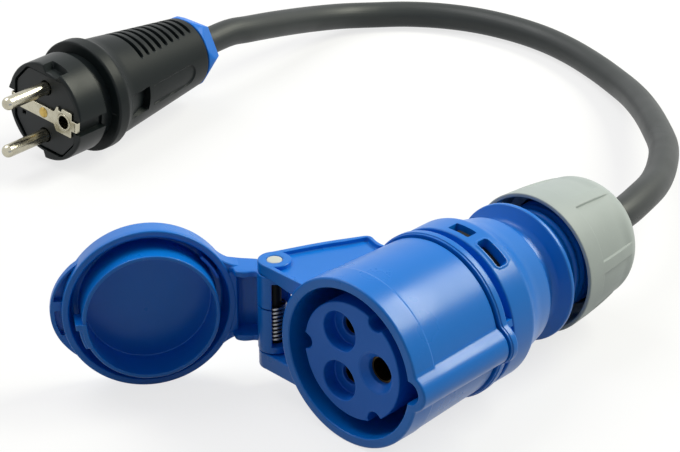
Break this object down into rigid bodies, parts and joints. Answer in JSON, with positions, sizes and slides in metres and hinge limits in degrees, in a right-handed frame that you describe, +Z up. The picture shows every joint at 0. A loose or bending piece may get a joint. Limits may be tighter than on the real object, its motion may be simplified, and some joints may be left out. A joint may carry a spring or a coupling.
{
  "type": "power adapter cable",
  "caption": "Short power adapter lead: a round blue connector with a hinged lid and a grey cap nut, a flexible black cable, and a black earthed plug with round pins.",
  "frame": {"origin": "centre of the connector's mouth, on its axis, in the plane of its rim", "axes": "+Y along the connector's axis from the mouth to the cable, +Z up from the surface it lies on, +X to the side of the key rib"},
  "size_m": [0.2573, 0.3131, 0.052],
  "materials": {
    "blue_shell": "satin moulded blue plastic",
    "blue_insert": "moulded blue plastic, a little darker and less shiny than the shell",
    "dark_latch": "dark grey plastic",
    "grey_nut": "light grey plastic with a fine spark texture",
    "pale_ring": "plain pale plastic",
    "ivory_pin": "ivory plastic",
    "spring_steel": "drawn spring wire",
    "contact_brass": "turned brass",
    "screw_steel": "zinc plated steel",
    "seal_rubber": "soft black rubber",
    "brown_wire": "brown insulation",
    "blue_wire": "blue insulation",
    "green_wire": "green and yellow insulation",
    "cable_rubber": "matt black rubber sheath",
    "black_plug": "satin black hard plastic",
    "black_face": "matt black hard plastic",
    "black_grip": "smooth black rubber",
    "blue_nut": "bright blue plastic",
    "nickel": "nickel plated, softly polished",
    "rivet_brass": "brass rivet head"
  },
  "bodies": {
    "adapter": {"front_housing": "blue_shell", "contact_carrier": "blue_insert", "carrier_latch": "dark_latch", "line_contact": "contact_brass", "neutral_contact": "contact_brass", "earth_contact": "contact_brass", "contact_screws": "screw_steel", "rear_housing": "blue_shell", "cable_seal": "seal_rubber", "hinge_pin": "ivory_pin", "lid_spring": "spring_steel", "line_wire": "brown_wire", "neutral_wire": "blue_wire", "earth_wire": "green_wire", "cable": "cable_rubber", "plug_front": "black_plug", "pin_carrier": "black_face", "plug_line_pin": "nickel", "plug_neutral_pin": "nickel", "earth_strap": "nickel", "earth_rivet": "rivet_brass", "earth_sleeve": "nickel", "plug_screws": "screw_steel", "plug_grip": "black_grip", "plug_seal": "seal_rubber", "plug_line_wire": "brown_wire", "plug_neutral_wire": "blue_wire", "plug_earth_wire": "green_wire"},
    "lid": {"lid": "blue_shell"},
    "clamp_ring": {"clamp_ring": "pale_ring"},
    "cap_nut": {"cap_nut": "grey_nut"},
    "plug_clamp": {"plug_clamp_ring": "pale_ring"},
    "plug_nut": {"plug_nut": "blue_nut"}
  },
  "joints": [
    {"name": "lid_hinge", "type": "hinge", "parent": "adapter", "child": "lid", "pos_m": [-0.0361, 0.0078, 0], "axis": [0, 0, 1], "range_deg": [0, 126]},
    {"name": "clamp_ring_slide", "type": "slide", "parent": "adapter", "child": "clamp_ring", "axis": [0, 1, 0], "range_m": [0, 0.0061]},
    {"name": "cap_nut_turn", "type": "hinge", "parent": "clamp_ring", "child": "cap_nut", "pos_m": [0, 0.095, 0], "axis": [0, 1, 0], "range_deg": [0, 720]},
    {"name": "plug_clamp_slide", "type": "slide", "parent": "adapter", "child": "plug_clamp", "axis": [-0.0593, 0.9982, 0], "range_m": [0, 0.0041]},
    {"name": "plug_nut_turn", "type": "hinge", "parent": "plug_clamp", "child": "plug_nut", "pos_m": [-0.20997, 0.13856, -0.005], "axis": [-0.0593, 0.9982, 0], "range_deg": [0, 720]}
  ],
  "couplings": [
    {"joint": "clamp_ring_slide", "follows": "cap_nut_turn", "m_per_rad": 0.00047746},
    {"joint": "plug_clamp_slide", "follows": "plug_nut_turn", "m_per_rad": 0.00031831}
  ]
}
